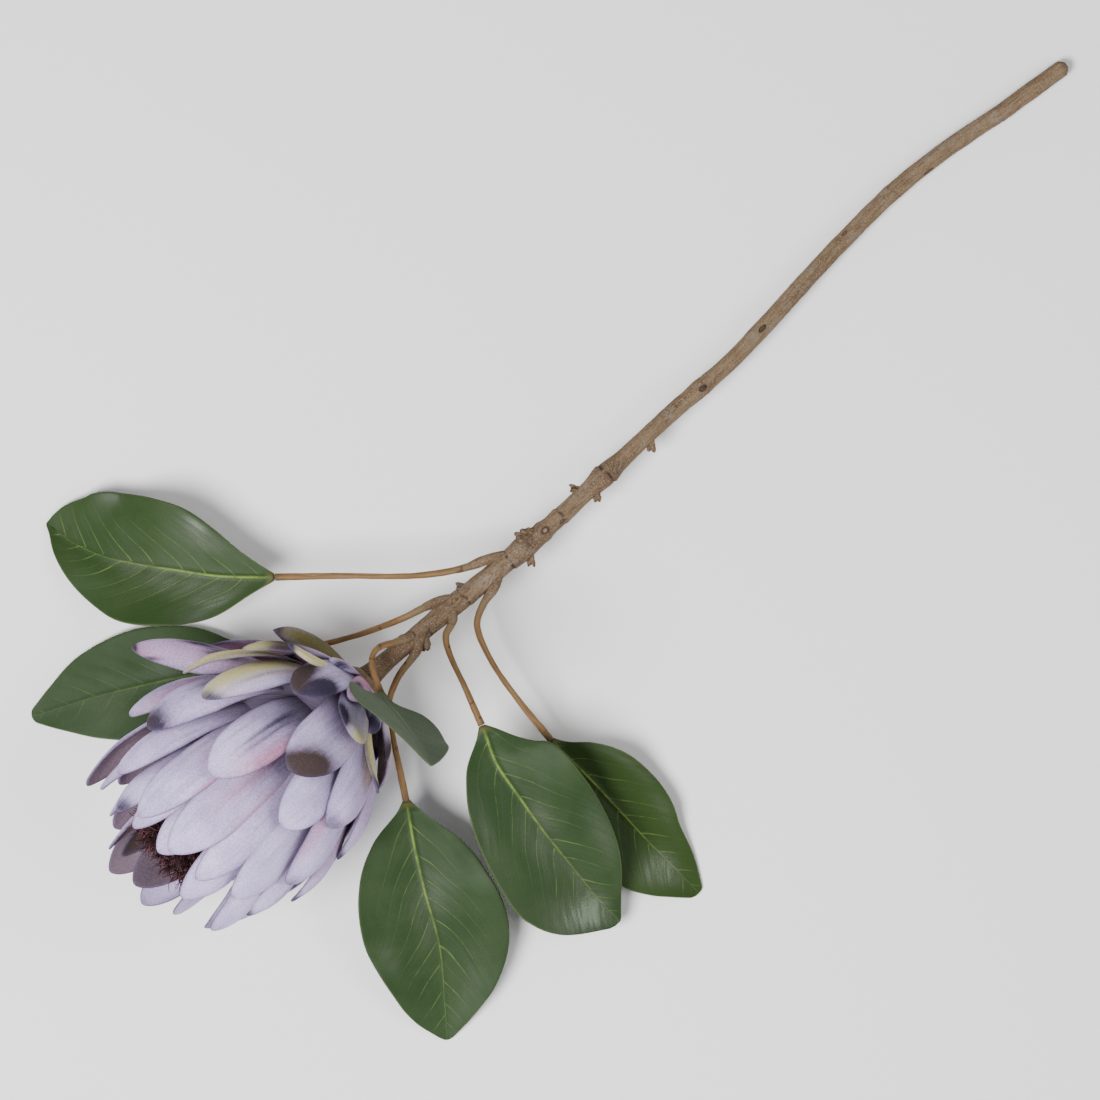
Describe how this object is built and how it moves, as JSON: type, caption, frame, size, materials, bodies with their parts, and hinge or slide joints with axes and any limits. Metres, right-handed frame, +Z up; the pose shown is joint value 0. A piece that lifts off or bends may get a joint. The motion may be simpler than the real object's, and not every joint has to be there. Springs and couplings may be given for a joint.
{
  "type": "protea flower",
  "caption": "Cut protea stem lying on its side: one large cup-shaped bloom of layered bracts round a bristly centre, with leathery leaves on thin stalks.",
  "frame": {"origin": "on the surface that the stem lies on, under the middle of the whole object", "axes": "+X along the stem towards its cut end, so the bloom points to -X; +Z up from the surface; +Y to the side of the two long-stalked leaves beside the bloom"},
  "size_m": [0.6925, 0.3949, 0.1738],
  "materials": {
    "stem_bark": "matt brown bark with pale specks and dark scars",
    "leaf_stalk": "smooth warm brown, soft satin",
    "leaf_blade": "deep green with yellow-green veins, soft sheen, paler underside",
    "basal_bract": "matt cream, olive and lilac with dark brown and indigo tips",
    "petal_bract": "matt pale lilac with a fine grain and blush streaks",
    "floret_bristle": "matt dark maroon brown bristles with paler tips"
  },
  "bodies": {
    "root": {"stem": "stem_bark", "petiole_1": "leaf_stalk", "petiole_2": "leaf_stalk", "petiole_3": "leaf_stalk", "petiole_4": "leaf_stalk", "petiole_5": "leaf_stalk", "petiole_6": "leaf_stalk", "leaf_1": "leaf_blade", "leaf_2": "leaf_blade", "leaf_3": "leaf_blade", "leaf_4": "leaf_blade", "leaf_5": "leaf_blade", "leaf_6": "leaf_blade", "basal_bracts": "basal_bract", "petal_bracts": "petal_bract", "florets": "floret_bristle"}
  },
  "joints": []
}
